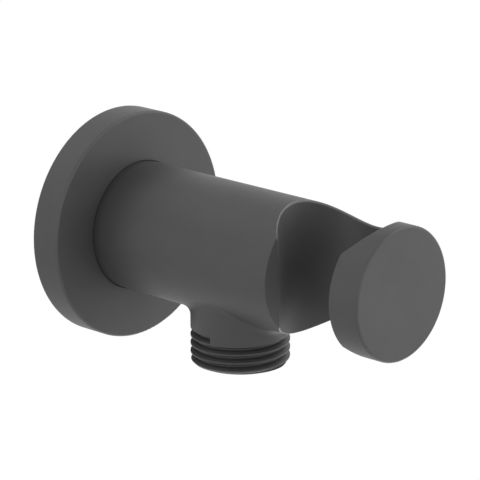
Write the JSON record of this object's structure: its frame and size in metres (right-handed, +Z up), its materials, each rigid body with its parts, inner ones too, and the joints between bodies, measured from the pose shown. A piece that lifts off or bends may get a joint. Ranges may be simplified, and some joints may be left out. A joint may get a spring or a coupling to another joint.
{
  "type": "wall outlet elbow",
  "caption": "Round wall elbow for a shower hose: flange, barrel with a side-opening cradle for a hand shower at its end, threaded spigot facing down, screwed nipple into the wall.",
  "frame": {"origin": "middle of the wall flange, on the plane of the finished wall", "axes": "+Y into the wall along the barrel's axis, -Y out into the room, +Z up, -Z down along the hose outlet, -X the side to which the cradle opens"},
  "size_m": [0.0494, 0.09, 0.0494],
  "materials": {
    "gunmetal": "brass with a matte dark grey gunmetal coating",
    "rubber": "black sealing rubber",
    "foam": "black closed-cell sealing foam",
    "bare_brass": "turned, uncoated",
    "screw_steel": "stainless"
  },
  "bodies": {
    "root": {"elbow_body": "gunmetal", "wall_flange": "gunmetal", "flange_grip_ring": "rubber", "foam_seal": "foam", "wall_nipple": "bare_brass", "nipple_seal_rear": "rubber", "nipple_seal_front": "rubber", "grub_screw": "screw_steel"}
  },
  "joints": []
}
